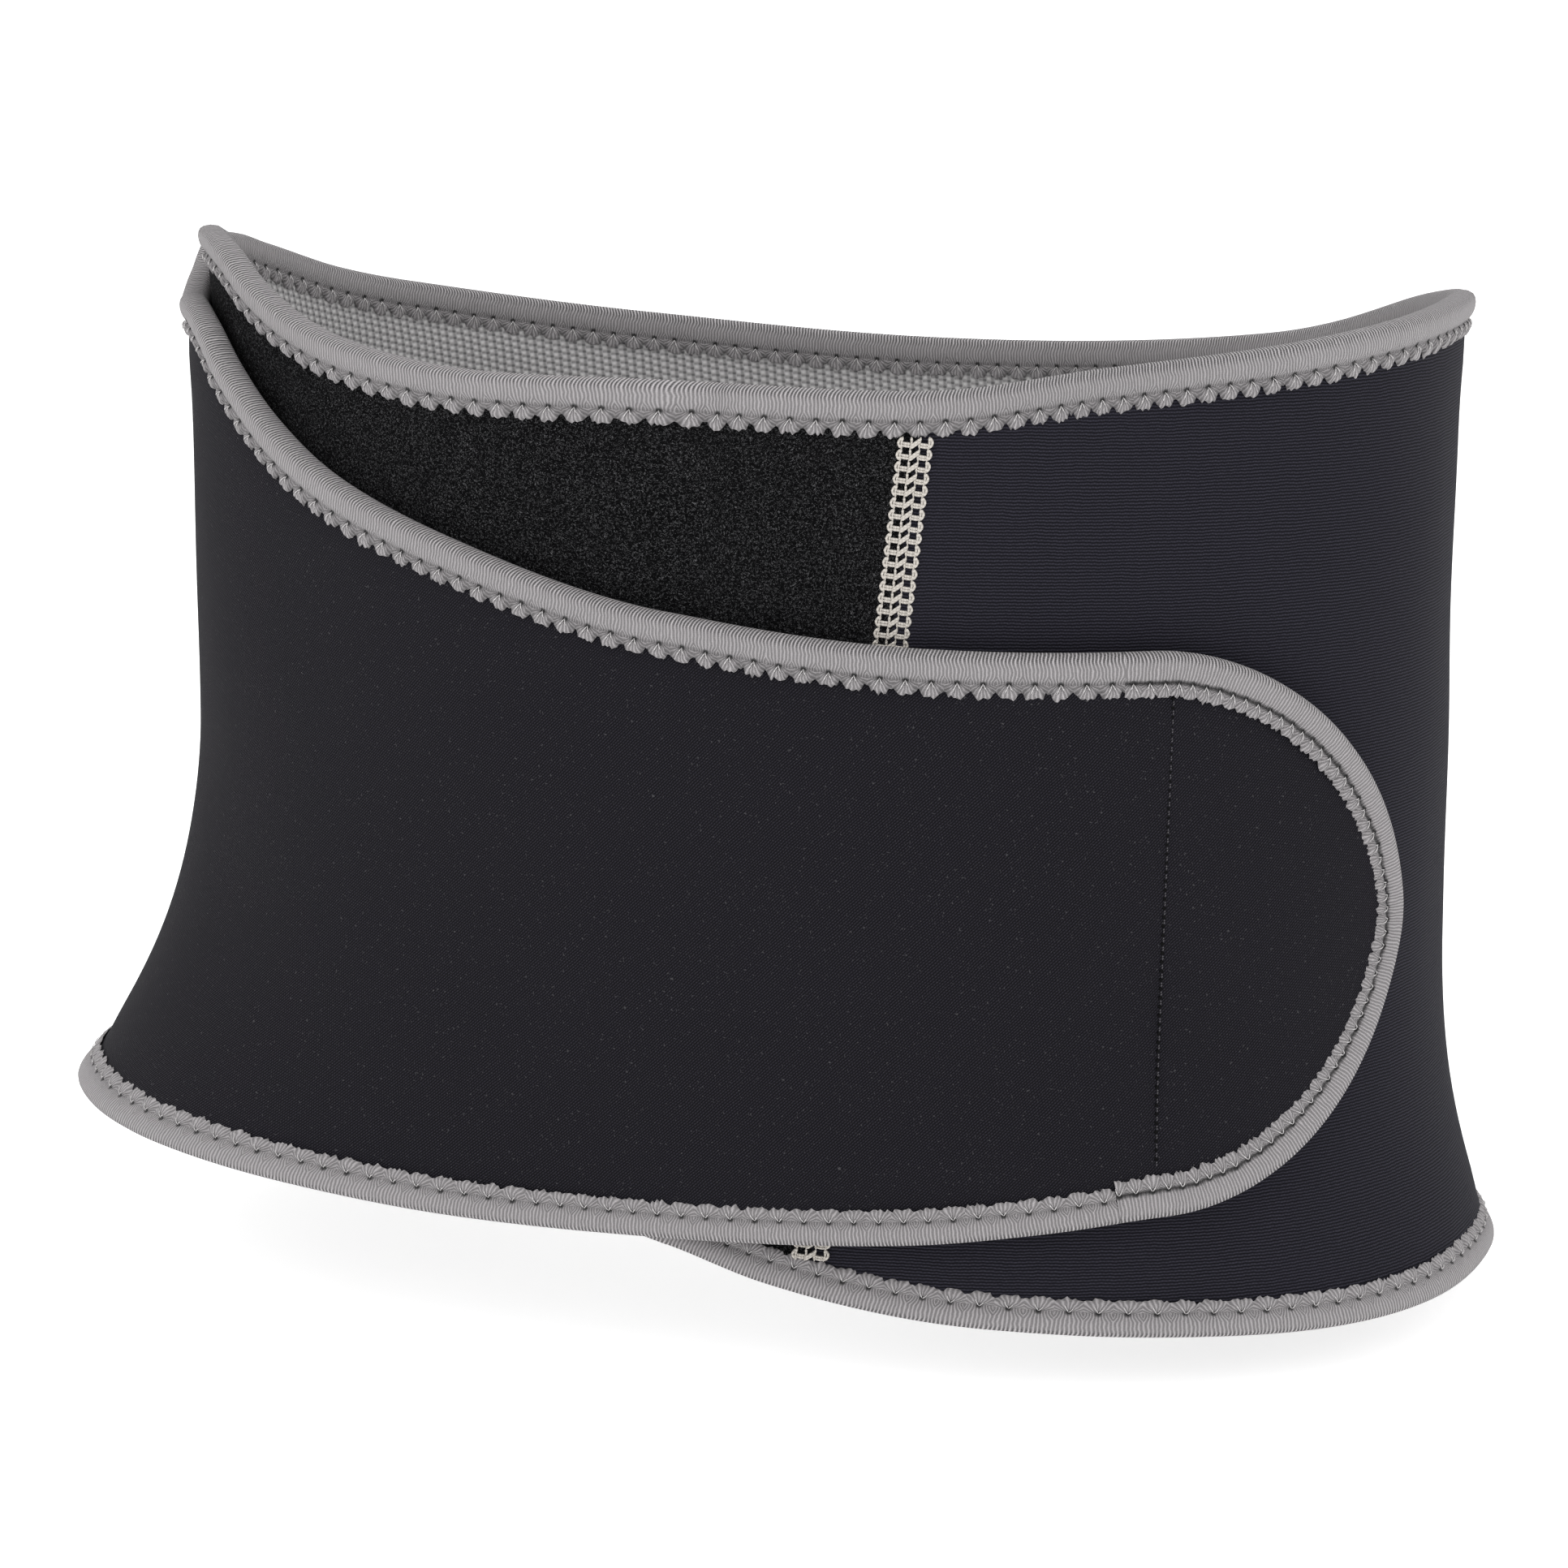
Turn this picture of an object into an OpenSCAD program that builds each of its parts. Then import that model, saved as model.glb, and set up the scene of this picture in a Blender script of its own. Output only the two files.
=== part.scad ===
// Lumbar support belt, closed as it is worn round a waist.
// +Z up, +X to the wearer's left as seen from the front, front of the belt at -Y, in millimetres.
// The origin is the middle of the waist opening, at the height where the waist is narrowest.
// The belt is one strip. A place along it is a turn in degrees, counted from the front centre of the
// outer wing, past the left of the view, round the back, and on to the tail of the inner wing.
// A place across it is a height, and a place through it is a distance outwards from the outer face.

/* [Waist] */
// Half the width of the closed belt at the waist, over its outer faces
waist_half_width = 148; // [120:1:190]
// Half the depth of the closed belt at the waist, front to back
waist_half_depth = 102; // [85:1:135]
// How square the waist is from above: 2 is an ellipse
waist_squareness = 2.2; // [2:0.1:2.8]
// How far the belt flares over the hip of the outer wing, at its hem
outer_hip_flare = 31; // [0:1:45]
// How far the belt flares over the other hip, at its hem
inner_hip_flare = 13; // [0:1:35]
// How far the top rim leans out
rim_flare = 3; // [0:0.5:8]

/* [Heights] */
// Height of the top rim over the back centre, above the waist
back_top = 93; // [75:1:120]
// Depth of the hem under the back centre, below the waist
back_bottom = 108; // [85:1:130]
// Height of the top rim over the hips, above the waist
side_top = 118; // [95:1:140]
// Height of the inner wing where it folds round to its tail, above the waist
fold_top = 129; // [110:1:150]
// Height of the outer wing where it carries the hook tab, above the waist
tab_top = 51.5; // [35:0.5:70]
// Depth of the outer wing's hem, below the waist
wing_bottom = 71; // [55:1:85]
// Depth of the inner wing's hem at the hip, below the waist
hip_bottom = 97; // [80:1:115]

/* [Layers] */
// Thickness of the foam core
foam_thickness = 3; // [2:0.1:5]
// Thickness of the outer knit
knit_thickness = 0.6; // [0.4:0.1:1.2]
// Thickness of the lining
lining_thickness = 0.6; // [0.4:0.1:1.2]
// Thickness of the hook patch
hook_thickness = 1; // [0.6:0.1:1.6]
// Clear space between the two wings where they lap
lap_clearance = 1.4; // [0.8:0.1:2]

/* [Binding] */
// Width of the binding tape on each face
binding_width = 10; // [7:0.5:14]
// Thickness of the binding tape
binding_thickness = 0.7; // [0.5:0.1:1.2]
// Clear space between the tape and the layers that it folds over
binding_clearance = 0.25; // [0.15:0.05:0.4]

/* [Wings] */
// Turn of the inner wing's seam between its side knit and its loop panel
seam_turn = 345.9; // [335:0.5:352]
// Degrees that this seam leans over each 100 mm of height
seam_lean = 4.8; // [0:0.2:6]
// Turn of the end of the inner wing's tail
tail_turn = 443; // [432:1:448]
// Turn of the hook tab's stitch line, before the front centre
tab_turn = 41; // [38:1:48]
// How much further round the hook tab's tip reaches
tab_reach = 31.5; // [26:0.5:36]
// How full the hook tab's rounded tip is
tip_fullness = 1.7; // [1.4:0.1:2.4]
// Width of the flatlock seam
seam_width = 8; // [5:0.5:12]
// Thickness of the flatlock seam's thread
seam_proud = 0.5; // [0.3:0.1:1]

/* [Stays] */
// Width of one stay
stay_width = 12; // [8:1:16]
// Thickness of one stay
stay_thickness = 1.4; // [0.8:0.1:2]
// Turn between one stay and the next
stay_spacing = 24; // [18:1:26]
// Height left free between a stay's casing and the binding tape
stay_end_gap = 8; // [4:1:20]

/* [Hidden] */

// Finishes
knit_colour = "#222129";
pile_colour = "#19191c";
foam_colour = "#3a3a3e";
lining_colour = "#969396";
tape_colour = "#9b9895";
thread_colour = "#cbc5ba";
stay_colour = "#d8d8d4";

// Turns where the hips flare most, how wide each flare is, the heights where they start, and
// how far either side of the leaning seam the strip leans with it
outer_hip_turn = 65;
outer_hip_width = 45;
outer_hip_start = 16;
inner_hip_turn = 265;
inner_hip_width = 70;
inner_hip_start = -27;
rim_start = 85;
lean_width = 25;
rim_reach = 40;

// The strip steps inwards over this part of the back, so that the inner wing lies under the outer one
lap_start = 178;
lap_end = 252;
laminate = knit_thickness + foam_thickness + lining_thickness;
lap_step = laminate + hook_thickness + lap_clearance;

// The wings join the back at these turns, with a little room beside each line that bends
outer_hinge_turn = 106;
inner_hinge_turn = 262;
hinge_gap = 1;
outer_gap_turn = hinge_gap / 2 / turn_length(outer_hinge_turn);
inner_gap_turn = hinge_gap / 2 / turn_length(inner_hinge_turn);
tab_gap_turn = hinge_gap / 2 / turn_length(-tab_turn);

// Thickness of the tape's fold, and the gap between it and the layers' edges
tape_edge = binding_thickness + binding_clearance;
column_turn = 7.5;
layer_rows = 8;
tip_columns = 9;
tip_rows = 10;
tip_blunt = 0.985;

// Heights of the strip's two edges, as [turn, height]
top_line = [
    [-60, tab_top],
    [-20, tab_top],
    [0, mix(tab_top, side_top, 0.08)],
    [18, mix(tab_top, side_top, 0.26)],
    [31, mix(tab_top, side_top, 0.41)],
    [40, mix(tab_top, side_top, 0.55)],
    [50, mix(tab_top, side_top, 0.74)],
    [56, mix(tab_top, side_top, 0.86)],
    [63, side_top - 5],
    [72, side_top - 6],
    [80, side_top - 1.5],
    [87, side_top + 5],
    [96, side_top + 1.3],
    [110, mix(back_top, side_top, 0.74)],
    [121, mix(back_top, side_top, 0.56)],
    [150, mix(back_top, side_top, 0.2)],
    [181, back_top],
    [212, mix(back_top, side_top, 0.24)],
    [240, mix(back_top, side_top, 0.78)],
    [262, side_top - 1],
    [280, side_top - 2],
    [310, side_top - 7],
    [325, side_top - 10],
    [339, side_top - 14.5],
    [360, side_top - 14],
    [378, side_top - 14],
    [390, side_top - 11],
    [399, mix(side_top, fold_top, -0.6)],
    [408, mix(side_top, fold_top, 0.05)],
    [415, mix(side_top, fold_top, 0.64)],
    [424, fold_top - 1],
    [434, fold_top - 2.6],
    [439, fold_top - 5],
    [446, fold_top - 14],
    [460, fold_top - 20]
];
bottom_line = [
    [-60, -wing_bottom + 5],
    [-tab_turn, -wing_bottom + 3],
    [-30, -wing_bottom],
    [-18, -wing_bottom - 3],
    [0, -wing_bottom - 4.7],
    [15, -wing_bottom - 4.5],
    [30, -wing_bottom - 2.5],
    [45, -wing_bottom - 0.5],
    [64, -wing_bottom + 1],
    [90, -wing_bottom - 3],
    [120, -mix(wing_bottom, back_bottom, 0.46)],
    [150, -mix(wing_bottom, back_bottom, 0.84)],
    [180, -back_bottom],
    [215, -mix(back_bottom, hip_bottom, 0.2)],
    [245, -mix(back_bottom, hip_bottom, 0.75)],
    [270, -hip_bottom],
    [287, -hip_bottom],
    [302, -hip_bottom + 0.5],
    [314, -hip_bottom + 1.5],
    [329, -hip_bottom + 3],
    [342, -hip_bottom + 5.5],
    [354, -mix(hip_bottom, wing_bottom, 0.44)],
    [362, -mix(hip_bottom, wing_bottom, 0.73)],
    [372, -wing_bottom + 2],
    [400, -wing_bottom + 10],
    [460, -wing_bottom + 12]
];

// Numbers
function mix(a, b, share) = a + (b - a) * share;
function smooth(share) = let(s = max(0, min(1, share))) s * s * (3 - 2 * s);
function signed_power(v, p) = sign(v) * pow(abs(v), p);
function turn_gap(a, b) = (a - b + 900) % 360 - 180;
function bump(turn, centre, width) = exp(-pow(turn_gap(turn, centre) / width, 2));

// A smooth curve through [place, value] points
function slope_at(list, i) =
    let(a = max(0, i - 1), b = min(len(list) - 1, i + 1))
    (list[b][1] - list[a][1]) / (list[b][0] - list[a][0]);
function curve_at(list, x) =
    let(
        behind = [for (i = [0:len(list) - 2]) if (x >= list[i][0]) i],
        i = len(behind) == 0 ? 0 : behind[len(behind) - 1],
        h = list[i + 1][0] - list[i][0],
        f = (x - list[i][0]) / h,
        from = 1 - smooth(f)
    )
    list[i][1] * from + list[i + 1][1] * (1 - from)
    + h * f * (1 - f) * ((1 - f) * slope_at(list, i) - f * slope_at(list, i + 1));

// The belt's outer face
function flare(turn, z) =
    outer_hip_flare * bump(turn, outer_hip_turn, outer_hip_width)
    * pow(max(0, outer_hip_start - z) / (outer_hip_start + wing_bottom), 2)
    + inner_hip_flare * bump(turn, inner_hip_turn, inner_hip_width)
    * pow(max(0, inner_hip_start - z) / (hip_bottom + inner_hip_start), 2)
    + rim_flare * pow(max(0, z - rim_start) / rim_reach, 2);
function round_x(turn) = -signed_power(sin(turn), 2 / waist_squareness);
function round_y(turn) = -signed_power(cos(turn), 2 / waist_squareness);
function outwards(turn) =
    let(
        n = [
            signed_power(round_x(turn), waist_squareness - 1) / waist_half_width,
            signed_power(round_y(turn), waist_squareness - 1) / waist_half_depth
        ]
    )
    n / norm(n);
function lap(turn) = -lap_step * smooth((turn - lap_start) / (lap_end - lap_start));
function leaned(turn, z) = turn - seam_lean * z / 100 * exp(-pow((turn - seam_turn) / lean_width, 2));
function wall(turn, z, out) =
    let(
        t = leaned(turn, z),
        f = flare(t, z),
        n = outwards(t) * (out + lap(t))
    )
    [
        (waist_half_width + f) * round_x(t) + n[0],
        (waist_half_depth + f) * round_y(t) + n[1],
        z
    ];
// Length of one degree of turn along the waist
function turn_length(turn) = norm(wall(turn + 0.5, 0, 0) - wall(turn - 0.5, 0, 0));

// The strip's edges, and the outline of its rounded tip, which is a superellipse
function top_at(turn) = curve_at(top_line, leaned(turn, side_top));
function bottom_at(turn) = curve_at(bottom_line, leaned(turn, -hip_bottom));
function tip_middle() = (top_at(-tab_turn) + bottom_at(-tab_turn)) / 2;
function tip_half(inset) = (top_at(-tab_turn) - bottom_at(-tab_turn)) / 2 - inset;
function tip_reach(inset) = tab_reach - inset / turn_length(-tab_turn - tab_reach);
function tip_share(s) = pow(1 - pow(s, tip_fullness), 1 / tip_fullness);
function tip_outline(angle, inset) = [
    -tab_turn - tip_reach(inset) * pow(sin(angle), 2 / tip_fullness),
    tip_middle() + tip_half(inset) * signed_power(cos(angle), 2 / tip_fullness)
];

// Columns of a layer, as [turn, bottom, top]: between two turns, and over the tip
function panel_column(turn) = [turn, bottom_at(turn) + tape_edge, top_at(turn) - tape_edge];
function strip_columns(from, to) =
    let(n = ceil((to - from) / column_turn))
    [for (i = [0:n]) panel_column(mix(from, to, i / n))];
function tip_column(s, inset) =
    let(half = tip_half(inset) * tip_share(s))
    [-tab_turn - tip_reach(inset) * s, tip_middle() - half, tip_middle() + half];
function tip_layer_columns(inset) = [
    for (i = [tip_columns:-1:1])
        tip_column(tip_blunt * sin(90 * i / tip_columns), inset),
    [-tab_turn - tab_gap_turn, tip_middle() - tip_half(inset), tip_middle() + tip_half(inset)]
];

// Rings of points joined into one closed solid. Each quad splits along one diagonal up to the turning
// point of the ring and along the other one after it, so that layers that share a face match.
// caps are the quads of point numbers that close each end.
module swept(rings, turning, caps) {
    count = len(rings[0]);
    last = (len(rings) - 1) * count;
    sides = [
        for (i = [0:len(rings) - 2])
            for (k = [0:count - 1])
                let(
                    a = i * count + k,
                    b = a + count,
                    d = i * count + (k + 1) % count,
                    c = d + count
                )
                each (k < turning ? [[a, b, c], [a, c, d]] : [[a, b, d], [b, c, d]])
    ];
    starts = [for (q = caps) each [[q[0], q[1], q[2]], [q[0], q[2], q[3]]]];
    ends = [for (f = starts) [f[0] + last, f[2] + last, f[1] + last]];
    polyhedron([for (r = rings) each r], concat(sides, starts, ends));
}

// Height of a row in a column. The first and last rows may be a margin wide, and the rest are even.
function row_height(c, r, rows, margin) =
    let(m = min(margin, (c[2] - c[1]) / rows))
    r == 0 ? c[1]
    : r == rows ? c[2]
    : mix(c[1] + m, c[2] - m, (r - 1) / (rows - 2));

// A layer through the strip, between two distances from the outer face
module layer(columns, inner, outer, rows = layer_rows, margin = 0) {
    rings = [
        for (c = columns)
            concat(
                [for (r = [0:rows]) wall(c[0], row_height(c, r, rows, margin), outer)],
                [for (r = [rows:-1:0]) wall(c[0], row_height(c, r, rows, margin), inner)]
            )
    ];
    last = 2 * rows + 1;
    swept(rings, rows + 1, [for (r = [0:rows - 1]) [r, r + 1, last - r - 1, last - r]]);
}

// Cross-section of the folded tape, as [distance in from the edge, distance outwards]
tape_section = [
    [0, tape_edge],
    [binding_width, tape_edge],
    [binding_width, binding_clearance],
    [binding_thickness, binding_clearance],
    [binding_thickness, -laminate - binding_clearance],
    [binding_width, -laminate - binding_clearance],
    [binding_width, -laminate - tape_edge],
    [0, -laminate - tape_edge]
];
tape_caps = [[0, 1, 2, 3], [0, 3, 4, 7], [4, 5, 6, 7]];

// Tape folded over the top edge (side = 1) or the bottom edge (side = -1) of the strip, at these turns
module edge_tape(turns, side) {
    n = len(turns) - 1;
    rings = [
        for (i = [0:n])
            let(turn = turns[side > 0 ? i : n - i], edge = side > 0 ? top_at(turn) : bottom_at(turn))
            [for (p = tape_section) wall(turn, edge - side * p[0], p[1])]
    ];
    color(tape_colour) swept(rings, len(tape_section), tape_caps);
}
function turns_of(columns) = [for (c = columns) c[0]];

// The layers that make up every panel
edge_margin = binding_width - tape_edge;
module knit_layer(columns) {
    color(knit_colour) layer(columns, -knit_thickness, 0, layer_rows, edge_margin);
}
module foam_layer(columns) {
    color(foam_colour)
        layer(columns, -knit_thickness - foam_thickness, -knit_thickness, layer_rows, edge_margin);
}
module lining_layer(columns) {
    color(lining_colour)
        layer(columns, -laminate, -knit_thickness - foam_thickness, layer_rows, edge_margin);
}

// Back
back_columns = strip_columns(outer_hinge_turn + outer_gap_turn, inner_hinge_turn - inner_gap_turn);
module back_foam() {
    foam_layer(back_columns);
}
module back_knit() {
    knit_layer(back_columns);
}
module back_lining() {
    lining_layer(back_columns);
}
module back_top_binding() {
    edge_tape(turns_of(back_columns), 1);
}
module back_bottom_binding() {
    edge_tape(turns_of(back_columns), -1);
}

// Stays, each in a casing sewn to the outside of the back
stay_count = 4;
stay_clearance = 0.25;
casing_thickness = 0.6;
casing_half = stay_width / 2 + stay_clearance + casing_thickness;
casing_proud = 3 * stay_clearance + stay_thickness + casing_thickness;
stay_rows = 12;
function stay_turn(i) = (outer_hinge_turn + inner_hinge_turn) / 2 + (i - (stay_count + 1) / 2) * stay_spacing;
// A section of [distance sideways, distance outwards] run up the back, this far clear of the tape
module upright(turn, section, clear, caps) {
    low = bottom_at(turn) + binding_width + clear;
    high = top_at(turn) - binding_width - clear;
    rings = [
        for (r = [0:stay_rows])
            [for (p = section) wall(turn + p[0] / turn_length(turn), mix(low, high, r / stay_rows), p[1])]
    ];
    swept(rings, len(section), caps);
}
module stay(i) {
    low = 2 * stay_clearance;
    high = low + stay_thickness;
    half = stay_width / 2;
    color(stay_colour)
        upright(
            stay_turn(i),
            [[-half, low], [-half, high], [half, high], [half, low]],
            stay_end_gap,
            [[0, 1, 2, 3]]
        );
}
module stay_casings() {
    inside_half = casing_half - casing_thickness;
    inside_high = casing_proud - casing_thickness;
    color(knit_colour)
        for (i = [1:stay_count])
            upright(
                stay_turn(i),
                [
                    [-casing_half, stay_clearance],
                    [-casing_half, casing_proud],
                    [casing_half, casing_proud],
                    [casing_half, stay_clearance],
                    [inside_half, stay_clearance],
                    [inside_half, inside_high],
                    [-inside_half, inside_high],
                    [-inside_half, stay_clearance]
                ],
                stay_clearance,
                [[0, 1, 6, 7], [1, 2, 5, 6], [2, 3, 4, 5]]
            );
}

// Outer wing, up to the line where its hook tab bends
wing_from = -tab_turn + tab_gap_turn;
wing_to = outer_hinge_turn - outer_gap_turn;
wing_columns = strip_columns(wing_from, wing_to);
module outer_wing_foam() {
    foam_layer(wing_columns);
}
module outer_wing_knit() {
    knit_layer(wing_columns);
}
module outer_wing_lining() {
    lining_layer(wing_columns);
}
module outer_wing_top_binding() {
    edge_tape(turns_of(wing_columns), 1);
}
module outer_wing_bottom_binding() {
    edge_tape(turns_of(wing_columns), -1);
}

// Hook tab, the rounded end of the outer wing
tip_layer = tip_layer_columns(tape_edge);
module hook_tab_foam() {
    foam_layer(tip_layer);
}
module hook_tab_knit() {
    knit_layer(tip_layer);
}
module hook_tab_lining() {
    lining_layer(tip_layer);
}
module hook_patch() {
    patch_inset = binding_width + 1;
    color(pile_colour)
        layer(tip_layer_columns(patch_inset), -laminate - hook_thickness, -laminate - binding_clearance);
}
module hook_tab_binding() {
    rings = [
        for (i = [0:2 * tip_rows])
            [
                for (p = tape_section)
                    let(at = tip_outline(90 * i / tip_rows, p[0]))
                    wall(min(at[0], -tab_turn - tab_gap_turn), at[1], p[1])
            ]
    ];
    reversed = [for (i = [2 * tip_rows:-1:0]) rings[i]];
    color(tape_colour) swept(reversed, len(tape_section), tape_caps);
}
module hook_patch_stitching() {
    stitch_pitch = 2;
    stitch_length = 1.3;
    stitch_half_turn = 0.12;
    stitch_lift = 0.15;
    stitch_thickness = 0.25;
    turn = -tab_turn - 0.9;
    low = tip_middle() - tip_half(binding_width + stitch_pitch);
    count = floor(2 * tip_half(binding_width + stitch_pitch) / stitch_pitch);
    color(thread_colour)
        for (i = [0:count])
            let(z = low + i * stitch_pitch)
            layer(
                [for (side = [-1, 1]) [turn + side * stitch_half_turn, z, z + stitch_length]],
                stitch_lift,
                stitch_lift + stitch_thickness,
                1
            );
}

// Inner wing, from the back past the seam to its tail
inner_from = inner_hinge_turn + inner_gap_turn;
inner_to = tail_turn - tape_edge / turn_length(tail_turn);
end_leg_turn = tail_turn - binding_width / turn_length(tail_turn);
side_columns = strip_columns(inner_from, seam_turn);
even_loop_columns = strip_columns(seam_turn, inner_to);
loop_columns = [
    for (i = [0:len(even_loop_columns)])
        i < len(even_loop_columns) - 1 ? even_loop_columns[i]
        : panel_column(i < len(even_loop_columns) ? end_leg_turn : inner_to)
];
inner_columns = concat(side_columns, [for (i = [1:len(loop_columns) - 1]) loop_columns[i]]);
inner_tape_turns = concat([for (c = inner_columns) if (c[0] < inner_to) c[0]], [tail_turn]);
module inner_wing_foam() {
    foam_layer(inner_columns);
}
module side_knit() {
    knit_layer(side_columns);
}
module loop_panel() {
    color(pile_colour) layer(loop_columns, -knit_thickness, 0, layer_rows, edge_margin);
}
module inner_wing_lining() {
    lining_layer(inner_columns);
}
module inner_wing_top_binding() {
    edge_tape(inner_tape_turns, 1);
}
module inner_wing_bottom_binding() {
    edge_tape(inner_tape_turns, -1);
}
module inner_wing_end_binding() {
    end_lift = 0.25;
    section = [
        for (i = [0:len(tape_section) - 1])
            tape_section[i] + [0, i == 2 || i == 3 ? end_lift : i == 4 || i == 5 ? -end_lift : 0]
    ];
    rings = [
        for (r = [layer_rows - 1:-1:1])
            let(end_gap = r == 1 ? binding_clearance : r == layer_rows - 1 ? -binding_clearance : 0)
            [
                for (p = section)
                    let(column = panel_column(tail_turn - p[0] / turn_length(tail_turn)))
                    wall(column[0], row_height(column, r, layer_rows, edge_margin) + end_gap, p[1])
            ]
    ];
    color(tape_colour) swept(rings, len(section), tape_caps);
}
module flatlock_seam() {
    half = seam_width / 2 / turn_length(seam_turn);
    seam_end_gap = 1;
    low = bottom_at(seam_turn) + binding_width + seam_end_gap;
    high = top_at(seam_turn) - binding_width - seam_end_gap;
    color(thread_colour)
        layer(
            [for (side = [-1:1]) [seam_turn + side * half, low, high]],
            binding_clearance,
            binding_clearance + seam_proud
        );
}

back_foam();
back_knit();
back_lining();
back_top_binding();
back_bottom_binding();
stay_casings();
stay(1);  // stay_1
stay(2);  // stay_2
stay(3);  // stay_3
stay(4);  // stay_4
outer_wing_foam();
outer_wing_knit();
outer_wing_lining();
outer_wing_top_binding();
outer_wing_bottom_binding();
hook_tab_foam();
hook_tab_knit();
hook_tab_lining();
hook_tab_binding();
hook_patch();
hook_patch_stitching();
inner_wing_foam();
side_knit();
loop_panel();
inner_wing_lining();
inner_wing_top_binding();
inner_wing_bottom_binding();
inner_wing_end_binding();
flatlock_seam();
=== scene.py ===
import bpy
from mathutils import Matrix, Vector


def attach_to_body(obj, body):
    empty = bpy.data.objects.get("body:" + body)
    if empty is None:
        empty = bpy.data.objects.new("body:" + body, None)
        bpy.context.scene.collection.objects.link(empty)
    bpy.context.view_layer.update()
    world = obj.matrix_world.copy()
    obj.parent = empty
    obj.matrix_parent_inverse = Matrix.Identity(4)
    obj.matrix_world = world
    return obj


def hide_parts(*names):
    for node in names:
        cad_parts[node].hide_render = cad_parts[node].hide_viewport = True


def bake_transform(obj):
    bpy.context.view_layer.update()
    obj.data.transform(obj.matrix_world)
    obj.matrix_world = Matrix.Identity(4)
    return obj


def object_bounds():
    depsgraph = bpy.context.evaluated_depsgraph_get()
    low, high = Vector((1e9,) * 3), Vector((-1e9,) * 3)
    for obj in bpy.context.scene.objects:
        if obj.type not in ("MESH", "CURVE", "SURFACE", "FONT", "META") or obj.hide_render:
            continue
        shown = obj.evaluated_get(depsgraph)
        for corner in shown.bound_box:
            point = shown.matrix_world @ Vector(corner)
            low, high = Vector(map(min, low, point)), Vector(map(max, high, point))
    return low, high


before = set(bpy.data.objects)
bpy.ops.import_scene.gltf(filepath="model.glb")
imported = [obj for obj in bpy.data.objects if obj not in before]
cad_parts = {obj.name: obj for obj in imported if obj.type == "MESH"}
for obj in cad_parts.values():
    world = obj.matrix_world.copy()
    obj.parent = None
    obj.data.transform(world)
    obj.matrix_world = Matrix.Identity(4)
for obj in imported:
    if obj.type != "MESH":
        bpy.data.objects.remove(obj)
cad_box = [list(corner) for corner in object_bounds()]

import math

import bpy
import numpy as np
from mathutils import Vector

# Sizes of the belt in millimetres, the same ones that its CAD model has

MM = 0.001
WAIST_HALF_WIDTH = 148
WAIST_HALF_DEPTH = 102
SQUARENESS = 2.2
OUTER_HIP_FLARE = 31
INNER_HIP_FLARE = 13
RIM_FLARE = 3
LAMINATE = 4.2
LAP_STEP = 6.6
TAB_TOP = 51.5
SIDE_TOP = 118
BACK_TOP = 93
FOLD_TOP = 129
BACK_BOTTOM = 108
WING_BOTTOM = 71
HIP_BOTTOM = 97
TAPE_WIDTH = 10
FRINGE_LINE = 6.6
TAPE_EDGE = 0.95
TAB_TURN = 41
TAB_REACH = 31.5
TIP_FULLNESS = 1.7
SEAM_TURN = 345.9
SEAM_LEAN = 4.8
SEAM_PITCH = 2.45
TAIL_TURN = 443
STAY_TURNS = (148, 172, 196, 220)
POCKET_STITCH_LINE = 8.3
POCKET_STITCH_PITCH = 2.6
PATCH_STITCH_PITCH = 1.9
PATCH_STITCH = 1.2

# Length of tape from one gather to the next, and how far the tape reaches in, as a share of its full width
GATHER_PITCH = 5.2
TIP_GATHER_PITCH = 3.4
TOP_REACH = 0.93
HEM_REACH = 0.8

# Turns where one piece ends and the next begins, so that each piece crosses one hinge at most
TAB_SPLIT = -37
WING_SPLIT = 118
SIDE_SPLIT = 250


def mix(a, b, share):
    return a + (b - a) * share


# Heights of the strip's two edges, as (turn, height)
TOP_LINE = (
    (-60, TAB_TOP), (-20, TAB_TOP), (0, mix(TAB_TOP, SIDE_TOP, 0.08)), (18, mix(TAB_TOP, SIDE_TOP, 0.26)),
    (31, mix(TAB_TOP, SIDE_TOP, 0.41)), (40, mix(TAB_TOP, SIDE_TOP, 0.55)),
    (50, mix(TAB_TOP, SIDE_TOP, 0.74)), (56, mix(TAB_TOP, SIDE_TOP, 0.86)),
    (63, SIDE_TOP - 5), (72, SIDE_TOP - 6), (80, SIDE_TOP - 1.5),
    (87, SIDE_TOP + 5), (96, SIDE_TOP + 1.3), (110, mix(BACK_TOP, SIDE_TOP, 0.74)),
    (121, mix(BACK_TOP, SIDE_TOP, 0.56)), (150, mix(BACK_TOP, SIDE_TOP, 0.2)), (181, BACK_TOP),
    (212, mix(BACK_TOP, SIDE_TOP, 0.24)), (240, mix(BACK_TOP, SIDE_TOP, 0.78)), (262, SIDE_TOP - 1),
    (280, SIDE_TOP - 2), (310, SIDE_TOP - 7), (325, SIDE_TOP - 10), (339, SIDE_TOP - 14.5),
    (360, SIDE_TOP - 14), (378, SIDE_TOP - 14), (390, SIDE_TOP - 11), (399, mix(SIDE_TOP, FOLD_TOP, -0.6)),
    (408, mix(SIDE_TOP, FOLD_TOP, 0.05)), (415, mix(SIDE_TOP, FOLD_TOP, 0.64)), (424, FOLD_TOP - 1),
    (434, FOLD_TOP - 2.6), (439, FOLD_TOP - 5), (446, FOLD_TOP - 14), (460, FOLD_TOP - 20),
)
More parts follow.
